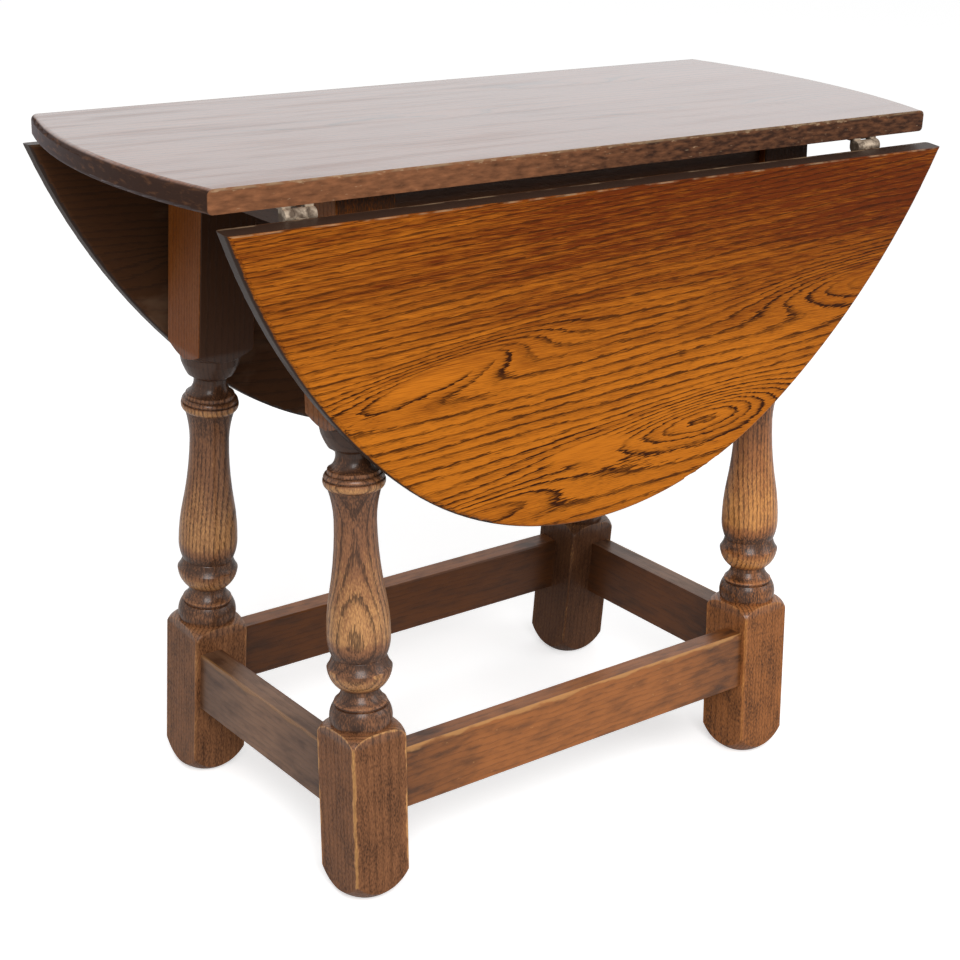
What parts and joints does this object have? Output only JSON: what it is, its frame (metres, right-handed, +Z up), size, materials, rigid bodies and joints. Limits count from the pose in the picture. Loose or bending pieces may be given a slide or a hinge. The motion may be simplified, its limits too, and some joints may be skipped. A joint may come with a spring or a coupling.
{
  "type": "drop-leaf occasional table",
  "caption": "Small oak drop-leaf table: a bowed top with half-oval hinged leaves turns on a frame of splayed, baluster-turned legs joined by a low box stretcher.",
  "frame": {"origin": "on the floor under the middle of the top, on the axis that the top turns on", "axes": "+X along the table, +Y across it from the front leaf to the back leaf, +Z up"},
  "size_m": [0.6344, 0.333, 0.516],
  "materials": {
    "top_oak": "dark polished oak",
    "leaf_oak": "amber polished oak",
    "frame_oak": "dark waxed oak",
    "hinge_steel": "worn plated steel",
    "fastener_steel": "dull steel"
  },
  "bodies": {
    "base": {"apron_back": "frame_oak", "apron_front": "frame_oak", "end_rail_left": "frame_oak", "end_rail_right": "frame_oak", "leg_back_left": "frame_oak", "leg_back_right": "frame_oak", "leg_front_left": "frame_oak", "leg_front_right": "frame_oak", "pivot_rail": "frame_oak", "pivot_washer": "fastener_steel", "stretcher_back": "frame_oak", "stretcher_front": "frame_oak", "stretcher_left": "frame_oak", "stretcher_right": "frame_oak"},
    "top": {"back_left_hinge_pin": "hinge_steel", "back_left_hinge_top_plate": "hinge_steel", "back_right_hinge_pin": "hinge_steel", "back_right_hinge_top_plate": "hinge_steel", "cleat_screws": "fastener_steel", "front_left_hinge_pin": "hinge_steel", "front_left_hinge_top_plate": "hinge_steel", "front_right_hinge_pin": "hinge_steel", "front_right_hinge_top_plate": "hinge_steel", "hinge_screws_top": "fastener_steel", "pivot_bolt": "fastener_steel", "pivot_cleat": "frame_oak", "pivot_nut": "fastener_steel", "top_panel": "top_oak"},
    "leaf_front": {"front_left_hinge_leaf_plate": "hinge_steel", "front_right_hinge_leaf_plate": "hinge_steel", "hinge_screws_leaf_front": "fastener_steel", "leaf_front": "leaf_oak"},
    "leaf_back": {"back_left_hinge_leaf_plate": "hinge_steel", "back_right_hinge_leaf_plate": "hinge_steel", "hinge_screws_leaf_back": "fastener_steel", "leaf_back": "leaf_oak"}
  },
  "joints": [
    {"name": "top_swivel", "type": "hinge", "parent": "base", "child": "top", "pos_m": [0, 0, 0.47], "axis": [0, 0, 1], "range_deg": [0, 6]},
    {"name": "leaf_front_hinge", "type": "hinge", "parent": "top", "child": "leaf_front", "pos_m": [-0.00682, -0.13012, 0.4948], "axis": [-0.9986, 0.0523, 0], "range_deg": [0, 94.42]},
    {"name": "leaf_back_hinge", "type": "hinge", "parent": "top", "child": "leaf_back", "pos_m": [0.00682, 0.13012, 0.4948], "axis": [0.9986, -0.0523, 0], "range_deg": [0, 94.42]}
  ]
}
